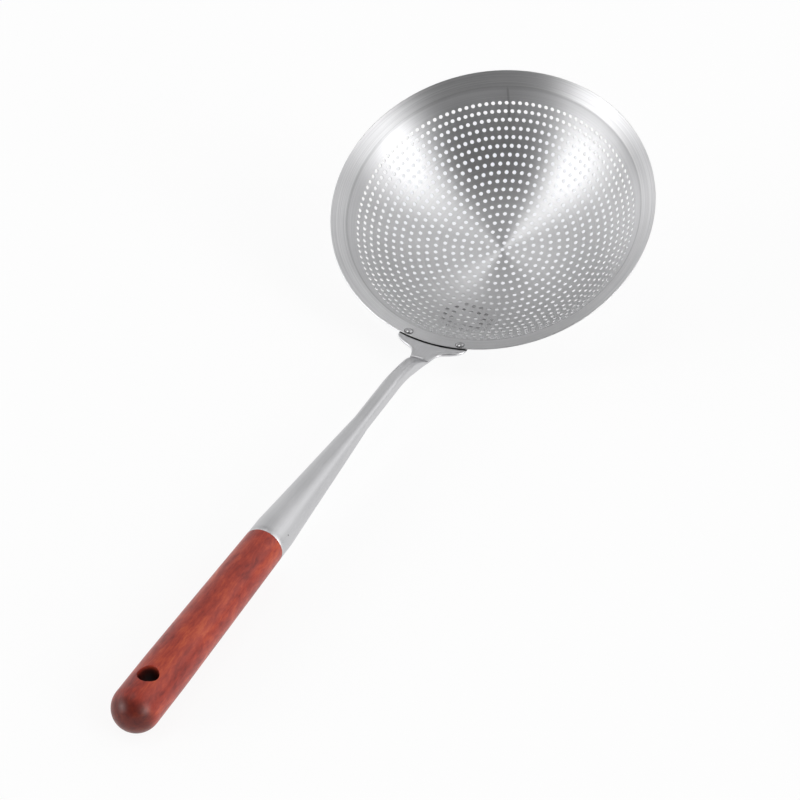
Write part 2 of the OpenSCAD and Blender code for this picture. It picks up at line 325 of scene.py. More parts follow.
def makeBowl(material):
    # holes laid out flat, each squashed so that it comes out round on the sloping wall
    spots, turns, squashes = [(0.0, 0.0, 0.0)], [0.0], [1.0]
    for k in range(1, holeRings + 1):
        s = ringArc(k)
        r = wallAt(s)[0] + bowl["sheet"] / 2 * sinD(slopeAt(s))
        count = bowl["holes"][k - 1]
        first = 180 + (180 / count if k > holeRings - bowl["steppedRings"] else bowl["ringStart"])
        for i in range(count):
            a = first + i * 360 / count
            spots.append((r * cosD(a), r * sinD(a), 0.0))
            turns.append(math.radians(a))
            squashes.append(cosD(slopeAt(s)))
    seed = bpy.data.meshes.new("holeSpots")
    seed.from_pydata(spots, [], [])
    for name, values in (("turn", turns), ("squash", squashes)):
        seed.attributes.new(name, "FLOAT", "POINT").data.foreach_set("value", values)
    seedPiece = bpy.data.objects.new("holeSpots", seed)
    bpy.context.scene.collection.objects.link(seedPiece)
    sheetR = wallAt(lastRing + ringPitch * bowl["sheetEdge"])[0]
    flat = throughTree(seedPiece, perforationTree(), {
        "Hole diameter": bowl["holeDiameter"], "Hole sides": bowl["holeSides"],
        "Sheet radius": sheetR, "Edge points": bowl["around"], "Steel": material})
    bpy.data.objects.remove(seedPiece)

    # plain band, bend and flange as rows round the perforated part
    rows = [r for r in profile[:, 0] if r > sheetR + bowl["rowClear"]]
    wallEnd = profile[bowl["wallPoints"] - 1, 0]
    keep = [r for i, r in enumerate(rows)
            if i % bowl["rowEvery"] == bowl["rowFirst"] or r > wallEnd - 0.01]
    around = bowl["around"]
    angles = np.arange(around) * 2 * math.pi / around
    bm = bmesh.new()
    bm.from_mesh(flat)
    lastLoop = [bm.verts.new((sheetR * math.cos(a), sheetR * math.sin(a), 0)) for a in angles]
    for r in keep:
        loop = [bm.verts.new((r * math.cos(a), r * math.sin(a), 0)) for a in angles]
        for i in range(around):
            j = (i + 1) % around
            bm.faces.new((lastLoop[i], loop[i], loop[j], lastLoop[j]))
        lastLoop = loop
    bmesh.ops.remove_doubles(bm, verts=bm.verts, dist=1e-3)
    bm.normal_update()
    for f in bm.faces:
        if f.normal.z < 0:
            f.normal_flip()
    bm.verts.index_update()
    flatXY = np.array([v.co[:2] for v in bm.verts])
    tops = [[v.index for v in f.verts] for f in bm.faces]
    rims = []  # open edges, wound as their face winds them
    for e in bm.edges:
        if len(e.link_faces) == 1:
            loop = e.link_loops[0]
            rims.append((loop.vert.index, loop.link_loop_next.vert.index))
    bm.free()

    radius = np.hypot(flatXY[:, 0], flatXY[:, 1])
    height = np.interp(radius, profile[:, 0], profile[:, 1])
    slope = np.radians(np.interp(radius, profile[:, 0], profile[:, 2]))
    unit = flatXY / np.maximum(radius, 1e-9)[:, None]
    up = np.stack([-np.sin(slope) * unit[:, 0], -np.sin(slope) * unit[:, 1], np.cos(slope)], axis=1)
    inner = np.stack([flatXY[:, 0], flatXY[:, 1], height], axis=1)
    outer = inner - up * bowl["sheet"]
    n = len(inner)
    verts = [*inner, *outer]
    faces = [*tops, *[[i + n for i in reversed(f)] for f in tops]]
    normals = [up[i] for f in tops for i in f] + [-up[i] for f in tops for i in reversed(f)]
    # the rim's own edge is rounded over in four steps, and every hole's edge is one straight side
    outward = along(bowl["flangeSlope"])
    onRim = rimR - 2
    beads = {}

    def beadPoint(i, step):
        key = (i, step)
        if key not in beads:
            a = math.pi * step / 4
            mid, half = (inner[i] + outer[i]) / 2, bowl["sheet"] / 2
            out = np.array([unit[i, 0] * outward[0], unit[i, 1] * outward[0], outward[1]])
            d = up[i] * math.cos(a) + out * math.sin(a)
            beads[key] = (len(verts), d)
            verts.append(mid + half * d)
        return beads[key]

    for a, b in rims:
        if radius[a] > onRim:
            ringA = [(a, up[a])] + [beadPoint(a, k) for k in (1, 2, 3)] + [(a + n, -up[a])]
            ringB = [(b, up[b])] + [beadPoint(b, k) for k in (1, 2, 3)] + [(b + n, -up[b])]
            for k in range(4):
                quad = [ringB[k], ringA[k], ringA[k + 1], ringB[k + 1]]
                faces.append([q[0] for q in quad])
                normals.extend(q[1] for q in quad)
        else:
            side = np.cross(inner[a] - inner[b], outer[b] - inner[b])
            side /= np.linalg.norm(side)
            faces.append([b, a, a + n, b + n])
            normals.extend([side] * 4)
    piece = newPiece("spunBowl", atRest(verts), faces, turnedDirections(normals).tolist())
    piece.data.materials.append(material)
    return piece


rivet = {
    "span": 29.8, "inFromRim": 2.9, "headDiameter": 5.0, "headHeight": 1.3, "headEdge": 0.35,
    "shank": 3.0, "gap": 0.05, "around": 40,
    # the tail under the plate: how much smaller than the head it is all round, its height and its bevel
    "tailInset": 0.3, "tailHeight": 0.8, "tailBevel": 0.25,
}
rivetFoot = flangePoint(-rivet["inFromRim"], 0.0)
rivetTurn = math.asin(rivet["span"] / 2 / rivetFoot[0])
rivetSpots = [(rivetFoot[0] * math.cos(a), rivetFoot[0] * math.sin(a), rivetFoot[1])
              for a in (-rivetTurn, rivetTurn)]


def rivetTree():
    tree = bpy.data.node_groups.new("rivetPair", "GeometryNodeTree")
    face = tree.interface
    for name, kind in (("Geometry", "NodeSocketGeometry"), ("Rivet", "NodeSocketObject"),
                       ("Tilt", "NodeSocketFloat"), ("Steel", "NodeSocketMaterial")):
        face.new_socket(name, in_out="INPUT", socket_type=kind)
    face.new_socket("Geometry", in_out="OUTPUT", socket_type="NodeSocketGeometry")
    add, link = tree.nodes.new, tree.links.new
    start, end = add("NodeGroupInput"), add("NodeGroupOutput")
    points, turn = add("GeometryNodeMeshToPoints"), add("GeometryNodeInputNamedAttribute")
    turn.data_type = "FLOAT"
    turn.inputs["Name"].default_value = "turn"
    back, angle = add("ShaderNodeMath"), add("ShaderNodeCombineXYZ")
    back.operation = "MULTIPLY"
    back.inputs[1].default_value = -1.0
    one, place = add("GeometryNodeObjectInfo"), add("GeometryNodeInstanceOnPoints")
    real, coat = add("GeometryNodeRealizeInstances"), add("GeometryNodeSetMaterial")
    link(start.outputs["Geometry"], points.inputs[0])
    link(start.outputs["Rivet"], one.inputs[0])
    link(start.outputs["Tilt"], back.inputs[0])
    link(back.outputs[0], angle.inputs["Y"])
    link(turn.outputs[0], angle.inputs["Z"])
    link(points.outputs[0], place.inputs["Points"])
    link(one.outputs["Geometry"], place.inputs["Instance"])
    link(angle.outputs[0], place.inputs["Rotation"])
    link(place.outputs[0], real.inputs[0])
    link(real.outputs[0], coat.inputs[0])
    link(start.outputs["Steel"], coat.inputs["Material"])
    link(coat.outputs[0], end.inputs[0])
    return tree


def makeRivets(material):
    rise, wide = rivet["headHeight"] - rivet["headEdge"], rivet["headDiameter"] / 2 - 0.05
    domeR = (wide ** 2 + rise ** 2) / (2 * rise)
    half = math.degrees(math.asin(wide / domeR))
    under = bowl["sheet"] + rivet["gap"] + arm["wingThick"]
    outline = [(domeR * sinD(a), rivet["headHeight"] - domeR + domeR * cosD(a))
               for a in np.linspace(0, half, 9)]
    headR, shankR = rivet["headDiameter"] / 2, rivet["shank"] / 2
    tailR, bevel = headR - rivet["tailInset"], rivet["tailBevel"]
    tailEnd = -under - rivet["tailHeight"]
    outline += [(headR, rivet["headEdge"]), (headR, 0.0), (shankR, 0.0), (shankR, -under),
                (tailR, -under), (tailR, tailEnd + bevel), (tailR - bevel, tailEnd), (0, tailEnd)]
    verts, faces = latheMesh(outline, rivet["around"])
    one = newPiece("oneRivet", verts, faces)
    one.data.set_sharp_from_angle(angle=math.radians(50))
    spots = bpy.data.meshes.new("rivetSpots")
    spots.from_pydata(rivetSpots, [], [])
    spots.attributes.new("turn", "FLOAT", "POINT").data.foreach_set("value", [-rivetTurn, rivetTurn])
    seed = bpy.data.objects.new("rivetSpots", spots)
    bpy.context.scene.collection.objects.link(seed)
    mesh = throughTree(seed, rivetTree(), {
        "Rivet": one, "Tilt": math.radians(bowl["flangeSlope"]), "Steel": material})
    bpy.data.objects.remove(seed)
    bpy.data.objects.remove(one)
    piece = bpy.data.objects.new("rivetPair", mesh)
    bpy.context.scene.collection.objects.link(piece)
    laid = atRest([v.co for v in mesh.vertices])
    mesh.vertices.foreach_set("co", laid.ravel())
    mesh.update()
    return piece


arm = {
    "wingWidth": 39.2, "wingThick": 2.0, "wingCorner": 3.2, "wingClear": 1.7,
    "lipWide": 2.8, "lipHigh": 0.95,
    # half widths of the plate, by how far they are past the rim
    "outline": [(0.5, 19.6), (2.0, 19.1), (3.4, 17.9), (4.6, 16.2), (5.5, 14.2), (6.2, 12.1), (7.0, 10.0),
                (8.2, 8.3), (10, 7.1), (12.5, 6.2), (15, 5.7), (18, 5.1), (21, 4.6), (24, 4.2), (28, 3.95),
                (60, 3.95)],
    # the dip under the rim, the pressed fold with its raised pad, and where the plate turns into the neck
    "seatAt": -0.3, "seatDip": 0.4, "seatWide": 0.9,
    "foldAt": 15.1, "foldEnd": 2.7, "foldFade": 0.9, "creaseDip": 0.5, "creaseWide": 0.8,
    "padFrom": 0.3, "padBlend": 1.2, "padRise": 0.5, "padLength": 15.0, "padWide": 3.2,
    "crease": 16.0, "neckTurn": 16.0, "neckFlat": 0.8, "neckLength": 39.0, "neckRise": 5.3,
    "neckWidth": 7.9, "neckHeight": 7.8, "neckCorner": 2.5,
    "slope": 28.8, "slimLength": 35.0, "flareLength": 98.0, "collarLength": 12.0,
    "collarDiameter": 19.8, "wall": 0.8, "around": 96,
    # a section's straight sides take this much of each quarter turn, in degrees
    "sideTurn": 18.0,
}
armRoot = flangePoint(arm["crease"] + arm["neckLength"], arm["neckRise"])
collarAt = arm["slimLength"] + arm["flareLength"]
jointAt = collarAt + arm["collarLength"]
wingMid = -bowl["sheet"] - rivet["gap"] - arm["wingThick"] / 2
edgeQ = (flangeCorner[0] + bowl["sheet"] + arm["wingClear"] - rimR) / cosD(bowl["flangeSlope"])
outlineQ, outlineHalf = np.array(arm["outline"], float).T
outlineSlope = np.gradient(outlineHalf, outlineQ)
farPast = 999.0  # a distance past the rim where the fold and the pad have no effect


def armPoint(s):  # s along the arm's straight part
    return armRoot + s * along(arm["slope"])


def plateHalf(q):  # a smooth curve through the plate's half widths
    i = int(np.clip(np.searchsorted(outlineQ, q) - 1, 0, len(outlineQ) - 2))
    gap = outlineQ[i + 1] - outlineQ[i]
    t = min(max((q - outlineQ[i]) / gap, 0), 1)
    return ((2 * t ** 3 - 3 * t ** 2 + 1) * outlineHalf[i]
            + (t ** 3 - 2 * t ** 2 + t) * gap * outlineSlope[i]
            + (3 * t ** 2 - 2 * t ** 3) * outlineHalf[i + 1]
            + (t ** 3 - t ** 2) * gap * outlineSlope[i + 1])


# A section: its place, slope, width and height, its corner's two radii, how straight its sides are,
# how much it follows the round rim, and how far it is past the rim.
def wingSection(q, halfWidth):
    return (*flangePoint(q, wingMid), bowl["flangeSlope"], 2 * halfWidth, arm["wingThick"],
            min(arm["lipWide"], halfWidth * 0.9), arm["lipHigh"], 1.0, 1.0, q)


def neckSection(q, t):
    share = min(max((q - arm["crease"]) / arm["neckLength"], 0), 1)
    lift = wingMid + (arm["neckRise"] - wingMid) * (1 - (1 - share) ** 2)
    steepness = 2 * (arm["neckRise"] - wingMid) / arm["neckLength"]
    turn = math.degrees(math.atan(steepness * (1 - share)))
    return (*flangePoint(q, lift), bowl["flangeSlope"] + turn * t, 2 * plateHalf(q),
            mixed(arm["wingThick"], arm["neckHeight"], sinD(90 * t)),
            mixed(arm["lipWide"], arm["neckCorner"], t), mixed(arm["lipHigh"], arm["neckCorner"], t),
            mixed(1.0, arm["neckFlat"], t), 1 - t, q)


def flareSection(s, t):
    width = mixed(arm["neckWidth"], arm["collarDiameter"], t)
    height = mixed(arm["neckHeight"], arm["collarDiameter"], t)
    share = mixed(arm["neckCorner"] / arm["neckHeight"], 0.5, sinD(90 * t))
    return (*armPoint(s), arm["slope"], width, height, share * width, share * height,
            arm["neckFlat"] * (1 - sinD(90 * t)), 0.0, farPast)


def sectionRing(section, inward=0.0):
    x0, z0, slope, width, height, cornerY, cornerV, flat, curve, q = section
    n = arm["around"]
    around = np.radians((np.arange(n) + 0.5) * 360 / n)
    c, s = np.cos(around), np.sin(around)
    quarter = np.degrees(np.arctan2(np.abs(s), np.abs(c)))
    side = arm["sideTurn"]
    corner = np.clip((quarter - side) / (90 - 2 * side), 0, 1) * 90
    bend = np.radians(mixed(quarter, corner, flat))
    wide, high = np.clip((90 - quarter) / side, 0, 1), np.clip(quarter / side, 0, 1)
    y = np.sign(c) * ((width / 2 - cornerY) * wide + (cornerY - inward) * np.cos(bend))
    v = np.sign(s) * ((height / 2 - cornerV) * high + (cornerV - inward) * np.sin(bend))
    # only the upper face dips under the rim and at the fold, and rises again in the pad
    top = np.clip(s * 3, 0, 1)
    out = q - arm["foldAt"]
    leftPart = np.clip((arm["foldEnd"] - y) / arm["foldFade"], 0, 1)
    seat = math.exp(-((q - arm["seatAt"]) / arm["seatWide"]) ** 2)
    v = v - arm["seatDip"] * seat * top * (1 - (y / width * 2) ** 8)
    v = v - arm["creaseDip"] * math.exp(-(out / arm["creaseWide"]) ** 2) * top * leftPart
    padStart = min(max((out - arm["padFrom"]) / arm["padBlend"], 0), 1)
    pad = padStart * max(1 - out / arm["padLength"], 0) * arm["padRise"]
    v = v + pad * top * np.exp(-(y / arm["padWide"]) ** 6)
    x = x0 - v * sinD(slope)
    x = x - curve * (x - np.sqrt(x * x - y * y))
    return np.stack([x, y, z0 + v * cosD(slope)], axis=1)


def makeArm(material):
    half, corner, crease = arm["wingWidth"] / 2, arm["wingCorner"], arm["crease"]
    turnEnd, neckEnd = crease + arm["neckTurn"], crease + arm["neckLength"]
    slim, flare = arm["slimLength"], arm["flareLength"]
    fine, coarse, coarseFrom = 0.14, 0.3, 9  # steps of the plate's sections, and where they widen
    sections = [wingSection(edgeQ + corner * (1 - cosD(a)), half - corner * (1 - sinD(a)))
                for a in range(0, 91, 10)]
    sections += [wingSection(q, half) for q in np.arange(edgeQ + corner + 0.5, 0.4, 0.5)]
    sections += [wingSection(q, plateHalf(q)) for q in np.arange(0.5, coarseFrom, fine)]
    sections += [wingSection(q, plateHalf(q)) for q in np.arange(coarseFrom, crease - 0.1, coarse)]
    steps = list(np.arange(0, 0.2, 0.0156)) + list(np.linspace(0.2, 1, 14))
    sections += [neckSection(crease + arm["neckTurn"] * t, t) for t in steps]
    sections += [neckSection(q, 1) for q in np.linspace(turnEnd, neckEnd, 12)[1:-1]]
    sections += [flareSection(s, 0) for s in np.linspace(0, slim, 10)]
    sections += [flareSection(slim + flare * t, t) for t in np.linspace(0, 1, 33)[1:]]
    sections += [flareSection(s, 1) for s in np.linspace(collarAt, jointAt - 0.12, 4)[1:]]
    rings = [sectionRing(s) for s in sections]
    last = flareSection(jointAt, 1)
    rings += [sectionRing(last, 0.1), sectionRing(last, arm["wall"])]
    piece = loftSkin("steelArm", rings, material)
    piece.data.set_sharp_from_angle(angle=math.radians(40))
    return piece


grip = {
    "length": 133.5, "neckDiameter": 19.9, "diameter": 22.4, "taper": 96.0,
    "holeDiameter": 10.0, "holeFromEnd": 22.0, "holeFlare": 0.3, "around": 128,
    # the neck's bevelled edge, how far below the skin the hole starts to flare, and the hole's points
    "edge": 0.12, "flareBelow": 0.15, "holeAround": 72,
}


def makeGrip(material):
    r0, r1 = grip["neckDiameter"] / 2, grip["diameter"] / 2
    ball = grip["length"] - r1
    outline = [(0, 0), (r0 - 1.0, 0), (r0 - grip["edge"], 0), (r0, grip["edge"])]
    for t in np.linspace(0.02, 1, 26):
        outline.append((mixed(r0, r1, t), grip["taper"] * t))
    outline += [(r1, z) for z in np.linspace(grip["taper"], ball, 8)[1:]]
    outline += [(r1 * cosD(a), ball + r1 * sinD(a)) for a in np.linspace(0, 90, 25)[1:-1]]
    outline.append((0, grip["length"]))
    verts, faces = latheMesh(outline[::-1], grip["around"])
    piece = newPiece("woodGrip", verts, faces)
    # the hang hole's cutter, flared at both mouths so that the edges come out rounded
    h, flare = grip["holeDiameter"] / 2, grip["holeFlare"]
    mouth, top = r1 - flare - grip["flareBelow"], r1 + 3
    cutLine = [(h + 4, top)] + [(h + flare * (1 - math.cos(t)), mouth + flare * math.sin(t))
                                for t in np.linspace(math.pi / 2, 0, 6)]
    cutLine = [(0, top)] + cutLine + [(h, 0)] + [(a, -b) for a, b in cutLine[::-1]] + [(0, -top)]
    verts, faces = latheMesh(cutLine, grip["holeAround"])
    turnedVerts = [(v[2], v[1], -v[0] + grip["length"] - grip["holeFromEnd"]) for v in verts]
    cutter = newPiece("holeCutter", turnedVerts, faces)
    drill = piece.modifiers.new("drill", "BOOLEAN")
    drill.object, drill.operation, drill.solver = cutter, "DIFFERENCE", "EXACT"
    graph = bpy.context.evaluated_depsgraph_get()
    mesh = bpy.data.meshes.new_from_object(piece.evaluated_get(graph), depsgraph=graph)
    piece.modifiers.clear()
    piece.data = mesh
    bpy.data.objects.remove(cutter)
    # normals from the turned outline, so that it shows no facets, and flat ones in the hole and the joint
    taperSlope, sameSide = (r1 - r0) / grip["taper"], 0.94
    normals = []
    for f in mesh.polygons:
        centre, flatN = np.array(f.center), np.array(f.normal)
        for i in f.vertices:
            x, y, z = mesh.vertices[i].co
            r = max(math.hypot(x, y), 1e-6)
            if z > ball:
                n = np.array([x, y, z - ball])
            else:
                n = np.array([x / r, y / r, -taperSlope if z < grip["taper"] else 0.0])
            n = n / np.linalg.norm(n)
            normals.append(n if n @ flatN >= sameSide else flatN)
    mesh.shade_smooth()
    mesh.normals_split_custom_set([tuple(n) for n in normals])
    a = arm["slope"]
    spot = armPoint(jointAt)

    def onArm(p, move):
        p = np.asarray(p, float)
        x = p[:, 2] * cosD(a) + p[:, 0] * sinD(a)
        z = p[:, 2] * sinD(a) - p[:, 0] * cosD(a)
        return np.stack([x + move * spot[0], p[:, 1], z + move * spot[1]], axis=1)

    laid = atRest(onArm([v.co for v in mesh.vertices], 1))
    laidNormals = turnedDirections(onArm(normals, 0))
    mesh.vertices.foreach_set("co", laid.ravel())
    mesh.update()
    mesh.normals_split_custom_set(laidNormals.tolist())
    mesh.materials.clear()
    mesh.materials.append(material)
    return piece


# How the spoon lies: the bowl's shoulder and the grip's ball end both touch the floor.
ballR = grip["diameter"] / 2
ballAt = armPoint(jointAt + grip["length"] - ballR)
reach = ballAt - shoulder
lean = math.degrees(math.atan2(reach[1], reach[0])
                    + math.asin((shoulderR + bowl["sheet"] - ballR) / np.hypot(*reach)))


def turned(p):
    return np.array([p[0] * cosD(lean) + p[1] * sinD(lean), p[1] * cosD(lean) - p[0] * sinD(lean)])


floorZ = turned(ballAt)[1] - ballR
farX = turned([-rimR, -bowl["sheet"] / cosD(bowl["flangeSlope"])])[0]
midX = (farX + turned(ballAt)[0] + ballR) / 2


def atRest(points):
    p = np.asarray(points, float)
    return np.stack([p[:, 0] * cosD(lean) + p[:, 2] * sinD(lean) - midX, p[:, 1],
                     p[:, 2] * cosD(lean) - p[:, 0] * sinD(lean) - floorZ], axis=1) / 1000


def turnedDirections(d):
    d = np.asarray(d, float)
    return np.stack([d[:, 0] * cosD(lean) + d[:, 2] * sinD(lean), d[:, 1],
                     d[:, 2] * cosD(lean) - d[:, 0] * sinD(lean)], axis=1)


# Looks. A material reads the spoon's own frame through one Mapping node.
def spoonCoords(m, origin=(0.0, 0.0), turn=0.0):
    place = atRest([[origin[0], 0, origin[1]]])[0]
    return m.mapping(m.here(), "TEXTURE", Location=tuple(place), Rotation=(0, math.radians(lean - turn), 0))


def spunSteel(name, look):
    material = bpy.data.materials.new(name)
    m = Maker(newTree(material))
    spoon = spoonCoords(m)
    x, y, _ = m.split(spoon)
    flat = m.node("ShaderNodeCombineXYZ", {"X": x, "Y": y}).outputs[0]
    radius = m.vector("LENGTH", flat)
    outward = m.vector("NORMALIZE", flat)
    radial = m.mapping(outward, "VECTOR", Rotation=(0, math.radians(lean), 0))
    # brushing: noise that changes fast with the radius and slowly round the bowl, stronger on the flange
    lay = m.node("ShaderNodeCombineXYZ", {
        "X": m.math("MULTIPLY", radius, 1000 * look["linesPerMm"]),
        "Y": m.vector("DOT_PRODUCT", outward, (1, 0, 0)),
        "Z": m.vector("DOT_PRODUCT", outward, (0, 1, 0))}).outputs[0]
    fine = m.noise(lay, 1.0, 3.0, 0.6).outputs[0]
    broad = m.noise(spoon, 26.0, 3.0, 0.55).outputs[0]
    bendAt = flangeCorner[0]
    onFlange = m.mapRange(radius, (bendAt - 0.6) / 1000, (bendAt + 0.6) / 1000, 0.0, 1.0)
    depth = m.mapRange(onFlange, 0.0, 1.0, look["wallLines"], look["flangeLines"])
    lines = m.math("MULTIPLY", m.math("SUBTRACT", fine, 0.5), depth)
    colour = m.ramp(m.math("ADD", m.math("ADD", lines, 0.3), m.math("MULTIPLY", broad, 0.4)),
                    [(0.30, look["dark"]), (0.70, look["pale"])])
    # a darker line in the bend, and one forming mark across the plain band on the far side
    fromBend = m.math("ABSOLUTE", m.math("SUBTRACT", radius, (bendAt - 0.1) / 1000))
    line = m.mapRange(fromBend, 0.0009, 0.0002, 0.0, look["bendDark"], "SMOOTHSTEP")
    markC, markS = cosD(look["markAt"]), sinD(look["markAt"])
    aside = m.math("ABSOLUTE", m.vector("DOT_PRODUCT", flat, (-markS, markC, 0)))
    ahead = m.vector("DOT_PRODUCT", flat, (markC, markS, 0))
    start = look["markFrom"] / 1000
    onBand = m.math("MULTIPLY", m.mapRange(ahead, start, start + 0.006, 0.0, 1.0),
                    m.math("LESS_THAN", ahead, bendAt / 1000))
    mark = m.mapRange(aside, 0.0009, 0.0003, 0.0, look["markDark"], "SMOOTHSTEP")
    mark = m.math("MULTIPLY", mark, onBand)
    colour = m.scaled(colour, m.math("SUBTRACT", 1.0, m.math("MAXIMUM", line, mark)))
    rough = m.mapRange(fine, 0.3, 0.7, look["roughness"] - 0.03, look["roughness"] + 0.03)
    shader = m.node("ShaderNodeBsdfPrincipled", {
        "Base Color": colour, "Metallic": 1.0, "Roughness": rough, "Anisotropic": look["anisotropy"],
        "Tangent": radial, "Normal": m.bump(fine, look["bump"], 0.00004)})
    m.node("ShaderNodeOutputMaterial", {"Surface": shader.outputs[0]})
    return material


def headEdgeShade(m, look, heads):  # painted shade: a dark outline round the edge of each rivet's head, where it stands on the flange
    near = m.math("MINIMUM", *[m.vector("DISTANCE", m.here(), tuple(spot)) for spot in atRest(heads)])
    edgeAt = look["edgeAt"] / 1000
    return m.mapRange(near, edgeAt - 0.0005, edgeAt, 0.0, look["edgeShadeDark"], "SMOOTHSTEP")


def armMarksAndShade(m, look):  # painted shadow along the rim's edge, painted shade in the fold, and one small stake mark near the joint
    x, y, _ = m.split(spoonCoords(m))
    flat = m.node("ShaderNodeCombineXYZ", {"X": x, "Y": y}).outputs[0]
    # painted shadow: a dark line on the plate where the flange's edge overhangs it
    rimShadowR, wide = (rimR + look["rimShadowAt"]) / 1000, look["rimShadowWide"]
    fromRimShadow = m.math("ABSOLUTE", m.math("SUBTRACT", m.vector("LENGTH", flat), rimShadowR))
    rimShadow = m.mapRange(fromRimShadow, wide / 1000, wide / 2000, 0.0, 1.0, "SMOOTHSTEP")
    fromStake = m.vector("DISTANCE", m.here(), tuple(atRest([look["stakeAt"]])[0]))
    stake = m.mapRange(fromStake, 0.0006, 0.0002, 0.0, look["stakeDark"], "SMOOTHSTEP")
    # painted shade: a dark band across the pressed fold, on its left part
    x, y, _ = m.split(spoonCoords(m, flangePoint(arm["foldAt"] + 0.35, 0.0), bowl["flangeSlope"]))
    foldShade = m.mapRange(m.math("ABSOLUTE", x), 0.0009, 0.0004, 0.0, look["foldShadeDark"], "SMOOTHSTEP")
    end = look["foldEnd"] / 1000
    foldShadeSide = m.mapRange(y, end, end - 0.0008, 0.0, 1.0, "SMOOTHSTEP")
    # the painted shadow under the rim and the painted shade in the fold
    dark = m.math("MAXIMUM", m.math("MULTIPLY", rimShadow, look["rimShadowDark"]), m.math("MULTIPLY", foldShade, foldShadeSide))
    return m.math("MAXIMUM", dark, stake)


def satinSteel(name, look, heads=None):
    material = bpy.data.materials.new(name)
    m = Maker(newTree(material))
    lengthways = spoonCoords(m, flangeCorner, arm["slope"])
    fine = m.noise(m.mapping(lengthways, "POINT", Scale=(30, 900, 900)), 1.0, 4.0, 0.6).outputs[0]
    broad = m.noise(lengthways, 45.0, 3.0).outputs[0]
    wear = m.math("ADD", m.math("MULTIPLY", fine, 0.5), m.math("MULTIPLY", broad, 0.5))
    colour = m.ramp(wear, [(0.3, look["dark"]), (0.7, look["pale"])])
    rough = m.mapRange(wear, 0.3, 0.7, look["roughness"] - 0.04, look["roughness"] + 0.04)
    inputs = {"Metallic": 1.0, "Roughness": rough, "Normal": m.bump(fine, look["bump"], 0.00003)}
    if heads:
        marksAndShade = headEdgeShade(m, look, heads)
    else:
        marksAndShade = armMarksAndShade(m, look)
        normal = m.node("ShaderNodeNewGeometry").outputs["Normal"]
        length = tuple(turnedDirections([[cosD(arm["slope"]), 0, sinD(arm["slope"])]])[0])
        inputs["Tangent"] = m.vector("NORMALIZE", m.vector("CROSS_PRODUCT", normal, length))
        inputs["Anisotropic"] = look["anisotropy"]
    # darkened by painted shade, and on the arm also by the stake mark
    colour = m.scaled(colour, m.math("SUBTRACT", 1.0, marksAndShade))
    shader = m.node("ShaderNodeBsdfPrincipled", {"Base Color": colour, **inputs})
    m.node("ShaderNodeOutputMaterial", {"Surface": shader.outputs[0]})
    return material


def curlyWood(name, look):
    material = bpy.data.materials.new(name)
    m = Maker(newTree(material))
    wood = spoonCoords(m, armPoint(jointAt), arm["slope"])

    def grain(vector, scale, turn=0.0, detail=3.0, roughness=0.5):
        laid = m.mapping(vector, "POINT", Scale=scale, Rotation=(0, 0, math.radians(turn)))
        return m.noise(laid, 1.0, detail, roughness)

    warp = grain(wood, (40, 90, 90), roughness=0.6).outputs["Color"]
    drift = m.vector("MULTIPLY", m.vector("SUBTRACT", warp, (0.5, 0.5, 0.5)), look["drift"])
    bent = m.vector("ADD", wood, drift)
    curl = grain(bent, (150, 420, 420), turn=24, detail=5.0, roughness=0.65).outputs[0]
    streak = grain(bent, (60, 1300, 1300), turn=6).outputs[0]
    patches = grain(bent, (45, 110, 110)).outputs[0]
    fineParts = m.math("ADD", m.math("MULTIPLY", streak, look["streak"]),
                       m.math("MULTIPLY", patches, look["patches"]))
    figure = m.math("ADD", m.math("MULTIPLY", curl, look["curl"]), fineParts)
    colour = m.ramp(figure, look["tones"])
    # darker end grain on the rounded end, wider and darker than the grain alone as painted shade, and
    # painted shade deep in the hang hole's bore
    x, y, z = m.split(wood)
    fromAxis = m.vector("LENGTH", m.node("ShaderNodeCombineXYZ", {"Y": y, "Z": z}).outputs[0])
    ball, r1 = (grip["length"] - grip["diameter"] / 2) / 1000, grip["diameter"] / 2000
    uneven = m.math("MULTIPLY", m.math("SUBTRACT", patches, 0.5), 0.008)
    # end grain, with painted shade added on the rounded end
    endGrainAndShade = m.mapRange(m.math("ADD", x, uneven), ball + r1 * 0.10, ball + r1 * 0.66, 1.0,
                          look["endGrainAndShade"], "SMOOTHSTEP")
    # painted shade: the hang hole's bore darkens with depth
    boreShade = m.mapRange(fromAxis, r1 - 0.0002, r1 - 0.0028, 1.0, look["boreShade"], "SMOOTHSTEP")
    holeAt = grip["length"] - grip["holeFromEnd"]
    inBore = m.math("MULTIPLY", m.math("GREATER_THAN", x, (holeAt - 7) / 1000),
                    m.math("LESS_THAN", x, (holeAt + 7) / 1000))
    boreShade = m.math("ADD", m.math("MULTIPLY", boreShade, inBore), m.math("SUBTRACT", 1.0, inBore))
    grainedAndShaded = m.scaled(colour, m.math("MULTIPLY", endGrainAndShade, boreShade))
    rough = m.mapRange(figure, 0.35, 0.65, look["roughness"] + 0.05, look["roughness"] - 0.05)
    shader = m.node("ShaderNodeBsdfPrincipled", {
        "Base Color": grainedAndShaded, "Roughness": rough, "Normal": m.bump(streak, look["bump"], 0.0001),
        "Specular IOR Level": look["specular"], "Coat Weight": look["coat"],
        "Coat Roughness": look["coatRoughness"]})
    m.node("ShaderNodeOutputMaterial", {"Surface": shader.outputs[0]})
    return material


